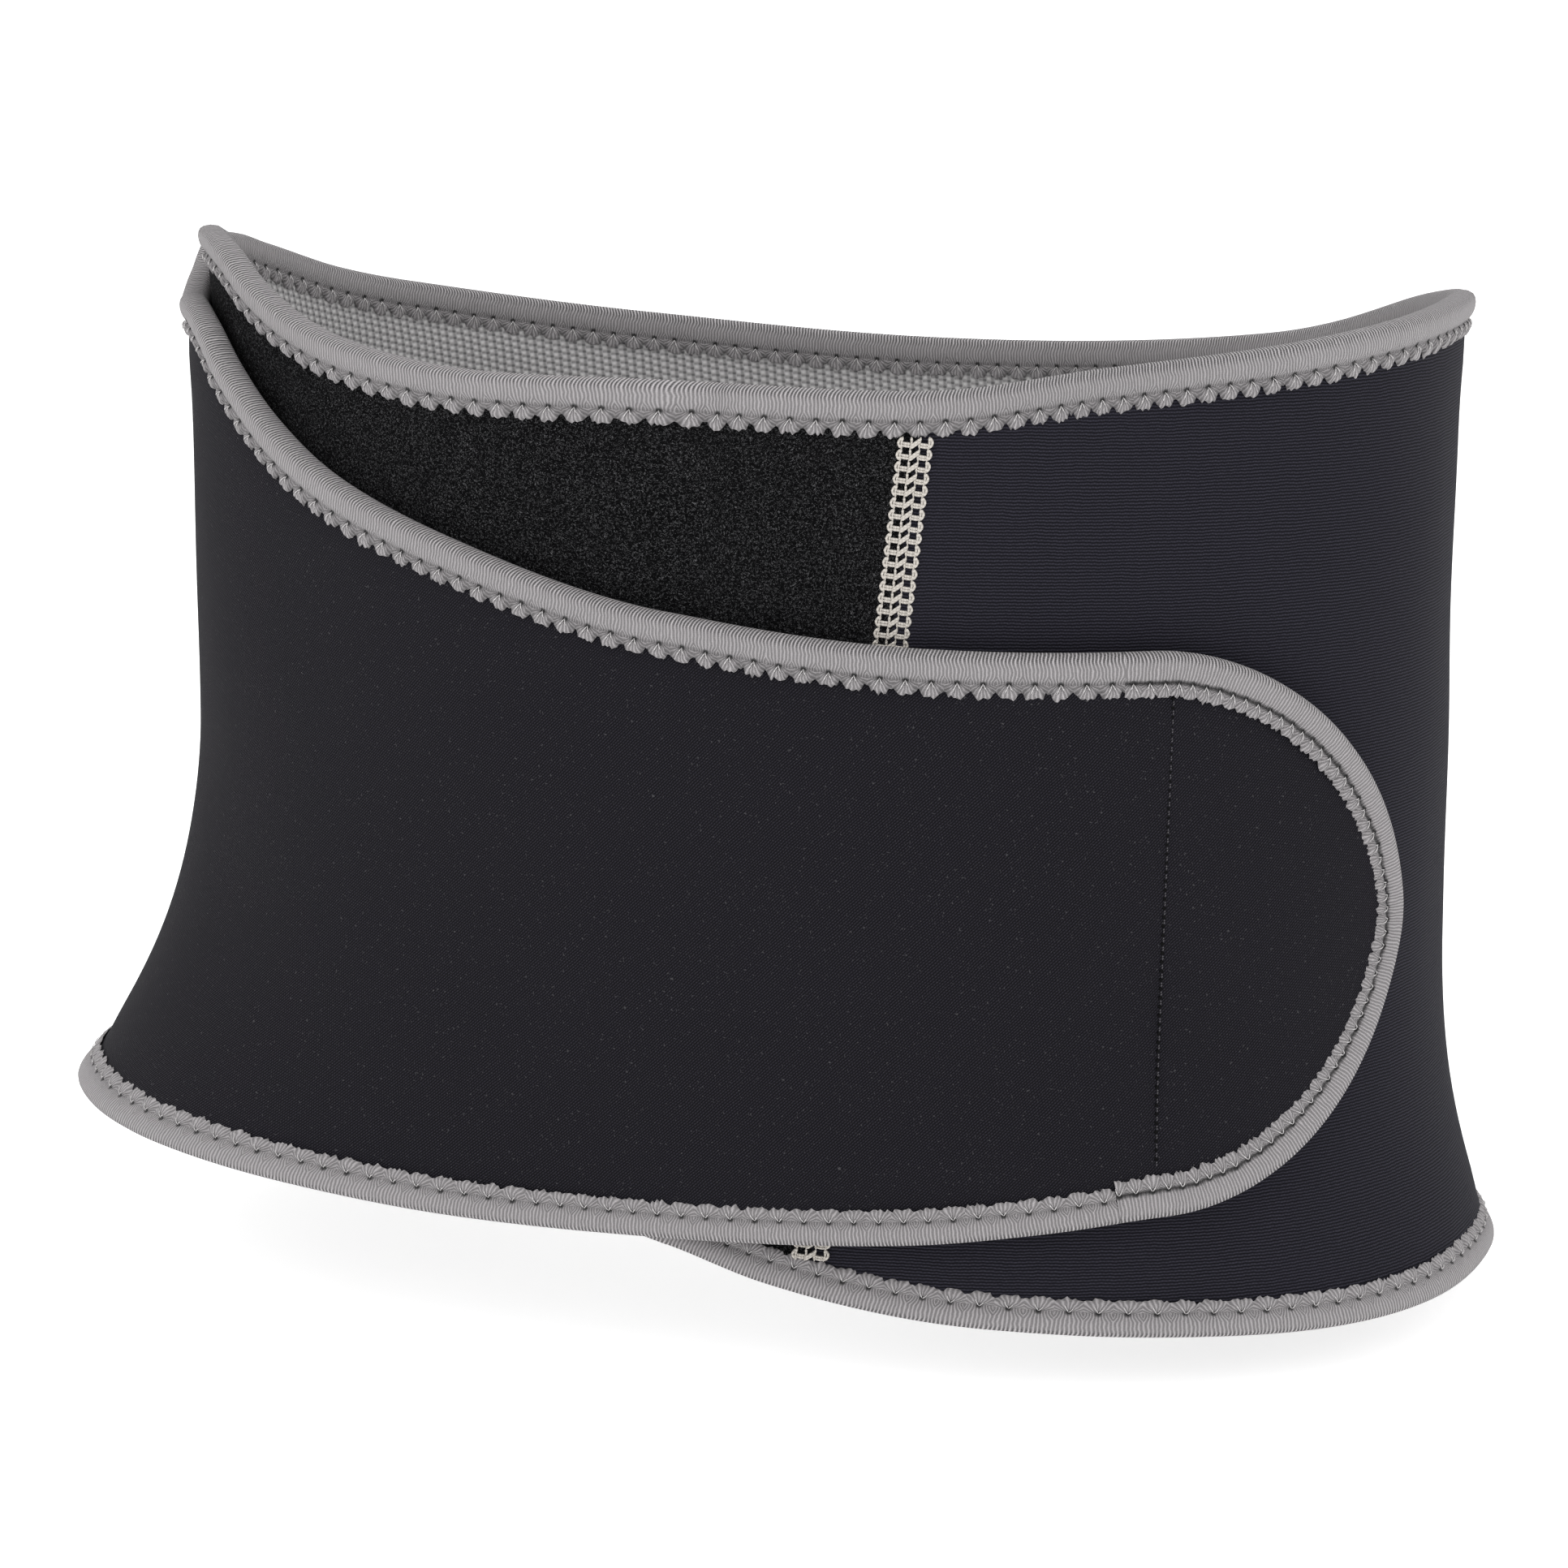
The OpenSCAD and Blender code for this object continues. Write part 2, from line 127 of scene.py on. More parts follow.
BOTTOM_LINE = (
    (-60, -WING_BOTTOM + 5), (-TAB_TURN, -WING_BOTTOM + 3), (-30, -WING_BOTTOM), (-18, -WING_BOTTOM - 3),
    (0, -WING_BOTTOM - 4.7), (15, -WING_BOTTOM - 4.5), (30, -WING_BOTTOM - 2.5), (45, -WING_BOTTOM - 0.5),
    (64, -WING_BOTTOM + 1), (90, -WING_BOTTOM - 3), (120, -mix(WING_BOTTOM, BACK_BOTTOM, 0.46)),
    (150, -mix(WING_BOTTOM, BACK_BOTTOM, 0.84)), (180, -BACK_BOTTOM),
    (215, -mix(BACK_BOTTOM, HIP_BOTTOM, 0.2)), (245, -mix(BACK_BOTTOM, HIP_BOTTOM, 0.75)),
    (270, -HIP_BOTTOM), (287, -HIP_BOTTOM), (302, -HIP_BOTTOM + 0.5), (314, -HIP_BOTTOM + 1.5),
    (329, -HIP_BOTTOM + 3), (342, -HIP_BOTTOM + 5.5), (354, -mix(HIP_BOTTOM, WING_BOTTOM, 0.44)),
    (362, -mix(HIP_BOTTOM, WING_BOTTOM, 0.73)), (372, -WING_BOTTOM + 2), (400, -WING_BOTTOM + 10),
    (460, -WING_BOTTOM + 12),
)


# The belt's curved wall: a place on it is a turn in degrees from the front, a height, and a distance outwards

def smooth(share):
    s = np.clip(share, 0, 1)
    return s * s * (3 - 2 * s)


def signed_power(value, power):
    return np.sign(value) * np.abs(value) ** power


def curve_at(line, x):
    """A smooth curve through the points of a line, at x."""
    place, value = np.array(line, float).T
    count = len(place)
    before = np.r_[0, np.arange(count - 2), count - 2]
    after = np.r_[1, np.arange(2, count), count - 1]
    slope = (value[after] - value[before]) / (place[after] - place[before])
    i = np.clip(np.searchsorted(place, x, "right") - 1, 0, len(place) - 2)
    h = place[i + 1] - place[i]
    f = (x - place[i]) / h
    s = smooth(f)
    return value[i] * (1 - s) + value[i + 1] * s + h * f * (1 - f) * ((1 - f) * slope[i] - f * slope[i + 1])


def leaned(turn, z):
    """The strip leans a little on both sides of the flat seam."""
    return turn - SEAM_LEAN * z / 100 * np.exp(-((turn - SEAM_TURN) / 25) ** 2)


def top_at(turn):
    return curve_at(TOP_LINE, leaned(turn, SIDE_TOP))


def bottom_at(turn):
    return curve_at(BOTTOM_LINE, leaned(turn, -HIP_BOTTOM))


def bump(turn, centre, width):
    """1 at the centre, falling away on both sides, the same on every lap."""
    return np.exp(-(((turn - centre + 900) % 360 - 180) / width) ** 2)


def flare(turn, z):
    """How far the wall stands out over the hips and leans out at the rim, in millimetres."""
    return (
        OUTER_HIP_FLARE * bump(turn, 65, 45) * (np.maximum(0, 16 - z) / 87) ** 2
        + INNER_HIP_FLARE * bump(turn, 265, 70) * (np.maximum(0, -27 - z) / 70) ** 2
        + RIM_FLARE * (np.maximum(0, z - 85) / 40) ** 2
    )


def wall(turn, z, out):
    """Points on the wall, in metres."""
    turn, z, out = np.broadcast_arrays(np.asarray(turn, float), z, out)
    turn = leaned(turn, z)
    x = -signed_power(np.sin(np.radians(turn)), 2 / SQUARENESS)
    y = -signed_power(np.cos(np.radians(turn)), 2 / SQUARENESS)
    nx = signed_power(x, SQUARENESS - 1) / WAIST_HALF_WIDTH
    ny = signed_power(y, SQUARENESS - 1) / WAIST_HALF_DEPTH
    reach = (out - LAP_STEP * smooth((turn - 178) / 74)) / np.hypot(nx, ny)
    f = flare(turn, z)
    return MM * np.stack(
        [(WAIST_HALF_WIDTH + f) * x + nx * reach, (WAIST_HALF_DEPTH + f) * y + ny * reach, z], axis=-1
    )


TURNS = np.arange(-90, 462, 0.25)
LENGTHS = np.r_[0, np.cumsum(np.linalg.norm(np.diff(wall(TURNS, 0, 0), axis=0), axis=1))] / MM


def length_at(turn):
    return np.interp(turn, TURNS, LENGTHS)


def turn_at(length):
    return np.interp(length, LENGTHS, TURNS)


def turn_length(turn):
    return float(length_at(turn + 0.5) - length_at(turn - 0.5))


TIP_MIDDLE = float(top_at(-TAB_TURN) + bottom_at(-TAB_TURN)) / 2
TIP_HALF = float(top_at(-TAB_TURN) - bottom_at(-TAB_TURN)) / 2


def tip_columns(inset, count=28):
    """Columns of the rounded tip from its line to its end, as (turn, bottom, top)."""
    s = 0.99 * np.sin(np.linspace(0, math.pi / 2, count))
    reach = TAB_REACH - inset / turn_length(-TAB_TURN - TAB_REACH)
    half = (TIP_HALF - inset) * (1 - s ** TIP_FULLNESS) ** (1 / TIP_FULLNESS)
    return np.stack([-TAB_TURN - reach * s, TIP_MIDDLE - half, TIP_MIDDLE + half], axis=1)


def strip_columns(start, end, inset=TAPE_EDGE):
    turn = np.linspace(start, end, int(math.ceil(abs(end - start) / 1.5)) + 1)
    return np.stack([turn, bottom_at(turn) + inset, top_at(turn) - inset], axis=1)


# Meshes

def make_piece(name, points, faces, weave, finishes, face_finish=None, sharp=40):
    mesh = bpy.data.meshes.new(name)
    mesh.from_pydata([], [], [])
    mesh.vertices.add(len(points))
    mesh.vertices.foreach_set("co", np.asarray(points, np.float32).ravel())
    faces = np.asarray(faces, np.int32)
    mesh.loops.add(faces.size)
    mesh.loops.foreach_set("vertex_index", faces.ravel())
    mesh.polygons.add(len(faces))
    mesh.polygons.foreach_set("loop_start", np.arange(0, faces.size, faces.shape[1], dtype=np.int32))
    for finish in finishes:
        mesh.materials.append(finish)
    if face_finish is not None:
        mesh.polygons.foreach_set("material_index", np.asarray(face_finish, np.int32))
    layer = mesh.uv_layers.new(name="weave")
    layer.data.foreach_set("uv", np.asarray(weave, np.float32)[faces.ravel()].ravel())
    mesh.update(calc_edges=True)
    mesh.validate()
    mesh.shade_smooth()
    mesh.set_sharp_from_angle(angle=math.radians(sharp))
    piece = bpy.data.objects.new(name, mesh)
    bpy.context.scene.collection.objects.link(piece)
    return piece


def grid_faces(columns, rows, first=0, flip=False):
    """Faces of a grid whose points run up each column in turn."""
    i, j = np.meshgrid(np.arange(columns - 1), np.arange(rows - 1), indexing="ij")
    k = i + 1
    quads = np.stack([i * rows + j, k * rows + j, k * rows + j + 1, i * rows + j + 1], axis=-1)
    quads = quads.reshape(-1, 4)
    return first + (quads[:, ::-1] if flip else quads)


def slab(name, columns, outer, inner, finishes, rows=58):
    """A closed padded panel between two faces; outer and inner give the distance outwards at a place."""
    turn = columns[:, :1] + np.zeros((1, rows))
    z = mix(columns[:, 1:2], columns[:, 2:3], np.linspace(0, 1, rows)[None, :])
    count = len(columns)
    points = np.concatenate([wall(turn, z, face(turn, z)).reshape(-1, 3) for face in (outer, inner)])
    weave = np.tile(np.stack([length_at(turn), z], axis=-1).reshape(-1, 2) * MM, (2, 1))
    far, last, top = count * rows, (count - 1) * rows, rows - 1
    up, across = np.arange(rows - 1), np.arange(count - 1) * rows
    borders = [
        np.stack([up + 1, up, far + up, far + up + 1], axis=1),
        np.stack([last + up, last + up + 1, far + last + up + 1, far + last + up], axis=1),
        np.stack([across, across + rows, far + across + rows, far + across], axis=1),
        np.stack([across + rows, across, far + across, far + across + rows], axis=1) + top,
    ]
    front = grid_faces(count, rows)
    back = grid_faces(count, rows, far, flip=True)
    faces = np.concatenate([front, back, *borders])
    kinds = np.repeat((0, 1, 2), (len(front), len(back), sum(len(border) for border in borders)))
    if columns[-1, 0] > columns[0, 0]:
        faces = faces[:, ::-1]
    return make_piece(name, points, faces, weave, finishes, kinds)


def tubes(name, lines, radius, finish, sides=6):
    """Round threads along many lines of equal point count; lines is an array (thread, point, xyz)."""
    lines = np.asarray(lines, float)
    count, steps = lines.shape[:2]
    along = np.gradient(lines, axis=1)
    along /= np.linalg.norm(along, axis=2, keepdims=True) + 1e-12
    outwards = lines * [1, 1, 0]
    outwards /= np.linalg.norm(outwards, axis=2, keepdims=True)
    side = np.cross(along, outwards)
    side /= np.linalg.norm(side, axis=2, keepdims=True) + 1e-12
    lift = np.cross(side, along)
    angle = np.linspace(0, 2 * math.pi, sides, endpoint=False)
    ends = np.ones(steps)
    ends[[0, -1]] = 0.35
    r = (radius * MM * ends)[None, :, None, None]
    ring = np.cos(angle)[:, None] * side[:, :, None, :] + np.sin(angle)[:, None] * lift[:, :, None, :]
    points = (lines[:, :, None, :] + r * ring).reshape(-1, 3)
    run = np.cumsum(np.r_[0, np.linalg.norm(np.diff(lines[0], axis=0), axis=1)])
    weave = np.stack(np.broadcast_arrays(run[None, :, None], angle[None, None, :] * MM), axis=-1)
    weave = np.broadcast_to(weave, (count, steps, sides, 2)).reshape(-1, 2)
    i, j, k = np.meshgrid(np.arange(count), np.arange(steps - 1), np.arange(sides), indexing="ij")
    here, there = (i * steps + j) * sides, (i * steps + j + 1) * sides
    turned = (k + 1) % sides
    faces = np.stack([here + k, here + turned, there + turned, there + k], axis=-1).reshape(-1, 4)
    return make_piece(name, points, faces, weave, [finish], sharp=180)


# Finishes. Values that vary over a surface are Python expressions on shader sockets

class Value:
    """A shader value; arithmetic on it adds Math nodes."""

    def __init__(self, finish, socket):
        self.finish, self.socket = finish, socket

    def math(self, operation, *values):
        return self.finish.node("ShaderNodeMath", {"operation": operation}, dict(enumerate(values)))

    def __add__(self, other):
        return self.math("ADD", self, other)

    def __sub__(self, other):
        return self.math("SUBTRACT", self, other)

    def __rsub__(self, other):
        return self.math("SUBTRACT", other, self)

    def __mul__(self, other):
        return self.math("MULTIPLY", self, other)

    def __truediv__(self, other):
        return self.math("DIVIDE", self, other)

    def __pow__(self, other):
        return self.math("POWER", self, other)

    def __abs__(self):
        return self.math("ABSOLUTE", self)

    __radd__, __rmul__ = __add__, __mul__

    def fraction(self):
        return self.math("FRACT", self)

    def whole(self):
        return self.math("FLOOR", self)

    def wave(self):
        """A smooth wave from 0 to 1 that repeats at each whole number."""
        return 0.5 + 0.5 * self.math("SINE", self * (2 * math.pi))

    def least(self, other):
        return self.math("MINIMUM", self, other)

    def most(self, other):
        return self.math("MAXIMUM", self, other)

    def rise(self, low, high):
        """0 below low, 1 above high, and smooth between."""
        inputs = {"Value": self, "From Min": low, "From Max": high}
        return self.finish.node("ShaderNodeMapRange", {"interpolation_type": "SMOOTHSTEP"}, inputs)


class Finish:
    """One material, made node by node."""

    def __init__(self, name, **constants):
        self.material = bpy.data.materials.new(name)
        self.material.use_nodes = True
        tree = self.material.node_tree
        self.nodes, self.links = tree.nodes, tree.links
        self.shader = self.nodes["Principled BSDF"]
        for key, value in constants.items():
            self.shader.inputs[key.replace("_", " ")].default_value = value

    def node(self, kind, settings=None, inputs=None, output=0):
        made = self.nodes.new(kind)
        for key, value in (settings or {}).items():
            setattr(made, key, value)
        for key, value in (inputs or {}).items():
            self.feed(made.inputs[key], value)
        return Value(self, made.outputs[output])

    def feed(self, socket, value):
        if isinstance(value, Value):
            self.links.new(value.socket, socket)
        else:
            socket.default_value = value

    def weave(self):
        """Millimetres along and across the fabric."""
        uv = self.node("ShaderNodeUVMap", {"uv_map": "weave"})
        across = [self.node("ShaderNodeSeparateXYZ", None, {0: uv}, side) * 1000 for side in (0, 1)]
        return across[0], across[1]

    def noise(self, x, y, size, detail=2.0, distortion=0.0, seed=0.0):
        """Noise from 0 to 1 whose blotches are about size millimetres across."""
        place = self.node("ShaderNodeCombineXYZ", None, {0: x / size, 1: y / size, 2: seed})
        inputs = {"Vector": place, "Scale": 1.0, "Detail": detail, "Distortion": distortion}
        return self.node("ShaderNodeTexNoise", {"noise_dimensions": "3D"}, inputs)

    def colour(self, share, low, high):
        """A colour from low to high as share goes from 0 to 1."""
        return self.node("ShaderNodeMix", {"data_type": "RGBA"}, {0: share, 6: low, 7: high}, 2)

    def done(self, colour, height, depth, roughness=None):
        """Colour and roughness over the surface, and a bump of that depth in millimetres."""
        self.feed(self.shader.inputs["Base Color"], colour)
        if roughness is not None:
            self.feed(self.shader.inputs["Roughness"], roughness)
        bump_inputs = {"Strength": 1.0, "Distance": depth * MM, "Height": height}
        normal = self.node("ShaderNodeBump", None, bump_inputs)
        self.feed(self.shader.inputs["Normal"], normal)
        return self.material


def grey(value, red=0.0, blue=0.0):
    """A grey in linear light, with that much more red and blue in it."""
    return (value * (1 + red), value, value * (1 + blue), 1)


def twill_knit():
    """Fine diagonal knit with pale flecks, on the outer wing and the back."""
    f = Finish("twill_knit", Roughness=0.85, Specular_IOR_Level=0.06, Sheen_Weight=0.02, Sheen_Roughness=0.5)
    x, y = f.weave()
    drift = f.noise(x, y, 6, 2)
    line = (x + y) * 1.36 + drift * 0.9
    rib = line.wave()
    stitch = ((x - y) * 1.05 + line.whole() * 0.5 + drift * 0.4).wave()
    grain = f.noise(x, y, 0.4, 2, 0.3, 6)
    height = (rib * (0.3 + 0.7 * stitch) * (0.55 + grain * 0.9)).least(1)
    fleck = f.noise(x, y, 0.55, 1, 0.6, 3).rise(0.68, 0.76)
    patch = f.noise(x, y, 26, 3)
    dark = f.colour(patch, grey(0.0024, 0.08, 0.34), grey(0.0040, 0.08, 0.34))
    knit = f.colour(height, dark, grey(0.028, 0.07, 0.32))
    return f.done(f.colour(fleck * 0.6, knit, grey(0.08, 0.02, 0.05)), height, 0.24, 0.78 + 0.14 * patch)


def side_knit():
    """Fine knit in level rows, on the side of the inner wing."""
    f = Finish(
        "fine_rib_knit", Roughness=0.85, Specular_IOR_Level=0.06, Sheen_Weight=0.02, Sheen_Roughness=0.5
    )
    x, y = f.weave()
    drift = f.noise(x, y, 7, 2)
    line = y * 1.47 + (x * 0.62).wave() * 0.1 + drift * 1.1
    loop = (x * 1.45 + line.whole() * 0.5 + drift).wave()
    dash = f.noise(x / 3.2, y, 0.42, 2, 0.2, 6)
    height = (line.wave() * (0.6 + 0.4 * loop) * (0.4 + dash * 1.2)).least(1)
    patch = f.noise(x, y, 18, 3)
    low = f.colour(patch, grey(0.0030, 0.05, 0.45), grey(0.0055, 0.05, 0.45))
    return f.done(f.colour(height, low, grey(0.030, 0.04, 0.38)), height, 0.14, 0.8 + 0.12 * patch)


def loop_pile():
    """Brushed loops that the hooks grip, with a few loose hairs."""
    f = Finish("loop_pile", Roughness=0.95, Specular_IOR_Level=0.03)
    x, y = f.weave()
    curl = f.noise(x, y, 1.0, 2, 2.6)
    fine = f.noise(x, y, 0.45, 2, 1.0, 5)
    speck = curl.rise(0.5, 0.62) * fine.rise(0.45, 0.62)
    hair = (1 - abs(f.noise(x, y, 1.5, 1, 5.0, 8) - 0.5).rise(0.0, 0.05)) * fine.rise(0.46, 0.6)
    patch = f.noise(x, y, 14, 2)
    low = f.colour(patch, grey(0.0016, 0.0, 0.1), grey(0.0036, 0.0, 0.1))
    tuft = f.colour(speck, low, grey(0.03, 0.0, 0.08))
    return f.done(f.colour(hair, tuft, grey(0.13, 0.0, 0.04)), curl * 0.6 + speck * 0.4, 0.6)


def waffle_lining():
    """Pale knit of small raised cells, with painted shade in the pits between them."""
    f = Finish(
        "waffle_lining", Roughness=0.9, Specular_IOR_Level=0.12, Sheen_Weight=0.08, Sheen_Roughness=0.5
    )
    x, y = f.weave()
    drift = f.noise(x, y, 5, 2)
    lean = (x + y * 0.1 + drift * 0.5) / 2.1
    row = (y + drift * 0.4) / 1.65 + lean.whole() * 0.35
    column_gap = 1 - lean.wave().rise(0.02, 0.5)
    row_gap = 1 - row.wave().rise(0.0, 0.45)
    knot = lean.wave() * row.wave()
    thread = ((x + y * 0.7) / 0.42).wave()
    # Painted shade: the pits between cells are darkened in the colour as well as sunk
    shaded_pit = (column_gap * (0.45 + 0.55 * row_gap) + row_gap * 0.35).least(1)
    height = knot * 0.7 + (1 - shaded_pit) * 0.2 + thread * 0.1
    patch = f.noise(x, y, 20, 3)
    low = f.colour(patch, grey(0.28, 0.02, 0.0), grey(0.36, 0.02, 0.0))
    tone = f.colour(knot * 0.7 + thread * 0.2, low, grey(0.56, 0.02, 0.0))
    return f.done(f.colour(shaded_pit * 0.9, tone, grey(0.1, 0.02, 0.02)), height, 0.45, 0.82 + 0.12 * patch)


def foam():
    f = Finish("dark_foam", Roughness=0.9, Specular_IOR_Level=0.2)
    x, y = f.weave()
    cells = f.noise(x, y, 0.5, 2)
    return f.done(f.colour(cells, grey(0.02), grey(0.06)), cells, 0.2)


def binding_tape(name, pitch, lean, sunk, pull, notched, bright=0.25):
    """Ribbed stretch tape, gathered into small fans at stitch holes a pitch apart.

    lean slants the ribs over the fold, pull draws them in to the holes, sunk sinks the stitch line and
    paints shade along it, and notched sinks the gaps between one fan and the next and paints shade in them.
    The holes are sunk and painted dark as painted shade.
    """
    f = Finish(name, Roughness=0.8, Specular_IOR_Level=0.2, Sheen_Weight=0.12, Sheen_Roughness=0.5)
    x, v = f.weave()
    d = abs(v)
    wobble = f.noise(x, d, 2.6, 2)
    number = (x / pitch).whole()
    cell = (x / pitch).fraction() - 0.5
    across = cell * pitch
    down = d - FRINGE_LINE + f.noise(number, 0.5, 1.0, 0, 0, 9) * 0.5 - 0.25
    reach = (across ** 2 + down ** 2) ** 0.5
    gather = 1 - abs(down).rise(0.1, 2.0)
    slant = 1 - d.rise(0.3, 3.4)
    straight = (x + across * gather * pull + slant * d * lean + wobble * 0.7) / 0.76
    angle = f.node("ShaderNodeMath", {"operation": "ARCTAN2"}, {0: across, 1: down.most(0) + 0.35})
    in_fan = down.rise(-0.1, 0.35)
    rib = straight.wave() * (1 - in_fan) + (angle / 0.28 + wobble * 1.6).wave() * in_fan
    fuzz = f.noise(x, d, 0.32, 2, 0.5, 2)
    patch = f.noise(x, d, 11, 2, 0, 4)
    # Painted light at the fold: painted shade darkens the rib gaps and a painted highlight lightens the rib
    # tops
    fold = 1 - d.rise(0.9, 2.6)
    low = f.colour(patch, grey(bright * 0.5, 0.05, 0.02), grey(bright * 0.66, 0.05, 0.02))
    low = f.colour(fold, low, grey(bright * 0.08, 0.05, 0.05))
    weft = (d / 0.4 + straight.whole() * 0.5).wave() * 0.16
    high = f.colour(fold, grey(bright * 1.42, 0.05, 0.02), grey(bright * 1.9, 0.05, 0.02))
    tone = f.colour((rib * 0.9 + fuzz * 0.3 - weft).most(0).least(1), low, high)
    # Painted shade: the stitch groove, the holes and the gaps between fans are darkened in the colour
    shaded_notch = abs(across).rise(1.0, 1.9) * down.rise(0.2, 1.3) * notched
    groove = abs(down).rise(0.0, 0.9) * -sunk + sunk
    shaded_pit = 1 - reach.rise(0.25, 0.8)
    tone = f.colour((groove + shaded_pit * 0.9 + shaded_notch * 0.55).least(0.95), tone, grey(bright * 0.05, 0.05, 0.03))
    height = rib * (0.45 + fold * 0.35) + fuzz * 0.12 - shaded_pit * 1.2 - groove * 0.6 - shaded_notch * 0.4
    return f.done(tone, height, 0.55, 0.75 + 0.15 * fuzz)


def sewing_thread(name, colour, dark):
    f = Finish(name, Roughness=0.6, Specular_IOR_Level=0.3, Sheen_Weight=0.1, Sheen_Roughness=0.4)
    x, angle = f.weave()
    twist = (x / 0.55 + angle / 6.2832).wave()
    fuzz = f.noise(x, angle, 0.5, 2)
    return f.done(f.colour(twist * 0.7 + fuzz * 0.3, dark, colour), twist, 0.08)


def dark_thread(name, dark, light):
    f = Finish(name, Roughness=0.7, Specular_IOR_Level=0.1)
    x, angle = f.weave()
    twist = (x / 0.5 + angle / 6.2832).wave()
    return f.done(f.colour(twist, grey(dark, 0.05, 0.15), grey(light, 0.05, 0.1)), twist, 0.08)


def hook_fabric():
    f = Finish("hook_fabric", Roughness=0.45, Specular_IOR_Level=0.4)
    x, y = f.weave()
    row = (x / 1.3).wave() ** 2
    hook = (y / 1.0 + (x / 1.3).whole() * 0.5).wave() ** 2
    height = row * hook
    return f.done(f.colour(height, grey(0.012, 0.0, 0.08), grey(0.05, 0.0, 0.08)), height, 0.7)


def stay_plastic():
    f = Finish("stay_plastic", Roughness=0.4, Specular_IOR_Level=0.5)
    place = f.node("ShaderNodeTexCoord", None, None, 3)
    grain = f.node("ShaderNodeTexNoise", None, {"Vector": place, "Scale": 900.0, "Detail": 3.0})
    return f.done(f.colour(grain, grey(0.62), grey(0.7)), grain, 0.05, 0.35 + 0.2 * grain)


def floor_paper():
    f = Finish("floor_paper", Roughness=1.0, Specular_IOR_Level=0.0)
    place = f.node("ShaderNodeTexCoord", None, None, 3)
    grain = f.node("ShaderNodeTexNoise", None, {"Vector": place, "Scale": 40.0, "Detail": 2.0})
    f.shader.inputs["Emission Color"].default_value = (1, 1, 1, 1)
    f.shader.inputs["Emission Strength"].default_value = 0.45
    return f.done(f.colour(grain, grey(0.93), grey(0.96)), grain, 0.02)


TWILL = twill_knit()
RIB_KNIT = side_knit()
PILE = loop_pile()
LINING = waffle_lining()
FOAM = foam()
TAPE = binding_tape("edge_tape", GATHER_PITCH, lean=-0.4, sunk=0.25, pull=0.35, notched=0.8)
HEM_TAPE = binding_tape("hem_tape", GATHER_PITCH, lean=0.1, sunk=0.12, pull=0.5, notched=0.15)
TIP_TAPE = binding_tape("tip_tape", TIP_GATHER_PITCH, lean=-0.2, sunk=0.9, pull=0.1, notched=0.2)
THREAD = sewing_thread("cream_thread", grey(0.56, 0.06, -0.08), grey(0.36, 0.08, -0.1))
TAPE_THREAD = sewing_thread("tape_thread", grey(0.62, 0.03, 0.0), grey(0.4, 0.04, 0.0))
DARK_THREAD = dark_thread("dark_thread", 0.012, 0.1)
# Near-black material for tubes that stand for the shade in the gaps between stitches: painted shade
HOLE_SHADE = dark_thread("stitch_gap_shade", 0.0008, 0.002)
HOOKS = hook_fabric()
STAY = stay_plastic()


# Which part of the belt each piece rides on, and the hinges between parts

def middle_of(turn):
    z = float(top_at(turn) + bottom_at(turn)) / 2
    return Vector(wall(turn, z, -LAMINATE / 2))


def along_y(turn_a, turn_b):
    a, b = wall(turn_a, 0, 0), wall(turn_b, 0, 0)
    return Vector((0, a[1], 0)), Vector((0, b[1], 0))


BENDS = {
    "tab": ("outer_wing", "hook_tab", middle_of(TAB_SPLIT), middle_of(-2 * TAB_TURN - TAB_SPLIT)),
    "wing": ("back", "outer_wing", *along_y(112, 100)),
    "side": ("back", "inner_wing", *along_y(256, 268)),
}
RIDES = {"back": "back", "loop": "inner_wing"}


def attach(piece, part, slot, *nodes):
    """Lets a piece ride on its part of the belt, or, where that part bends, only bakes its place in.

    The piece stands for those CAD nodes, which are hidden.
    """
    if part in BENDS:
        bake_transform(piece)
    else:
        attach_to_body(piece, RIDES[part])
    if nodes:
        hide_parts(*nodes)
    return piece


# Padded panels

def edge_pinch(z, lowest, highest):
    """How far a face sinks beside the tape, in millimetres."""
    gap = np.minimum(z - lowest, highest - z)
    return 0.5 * np.exp(-(np.maximum(gap - TAPE_WIDTH + 2, 0) / 4.5) ** 2)


def soft_wave(turn, z, seed=0.0):
    """Slow unevenness of the foam under the knit."""
    x = length_at(turn)
    return (
        0.22 * np.sin(x / 19 + z / 31 + seed) + 0.16 * np.sin(x / 11 - z / 17 + 2 * seed)
        + 0.12 * np.sin(z / 9 + x / 43 + seed)
    )


def tip_edges(turn):
    """The bottom and top of the outline at a turn, round tip included."""
    s = np.clip((-TAB_TURN - turn) / TAB_REACH, 0, 1)
    half = TIP_HALF * (1 - s ** TIP_FULLNESS) ** (1 / TIP_FULLNESS)
    round_part = turn < -TAB_TURN
    return (
        np.where(round_part, TIP_MIDDLE - half, bottom_at(turn)),
        np.where(round_part, TIP_MIDDLE + half, top_at(turn)),
    )


def stitch_turn(z):
    """The line on which the hook patch is sewn, a little off upright."""
    return -TAB_TURN - 0.2 + 0.7 * (TIP_MIDDLE - z) / TIP_HALF


def outer_face(turn, z):
    low, high = tip_edges(turn)
    line = (length_at(turn) - length_at(stitch_turn(z))) / 1.1
    groove = 0.4 * np.exp(-line ** 2) * ((turn < TAB_SPLIT - 0.5) & (turn > -50))
    return soft_wave(turn, z) * np.clip(1 - 1.1 * groove, 0, 1) - edge_pinch(z, low, high) - groove


def inner_face(turn, z):
    low, high = tip_edges(turn)
    return -LAMINATE + 0.5 * soft_wave(turn, z, 2.0) + edge_pinch(z, low, high)


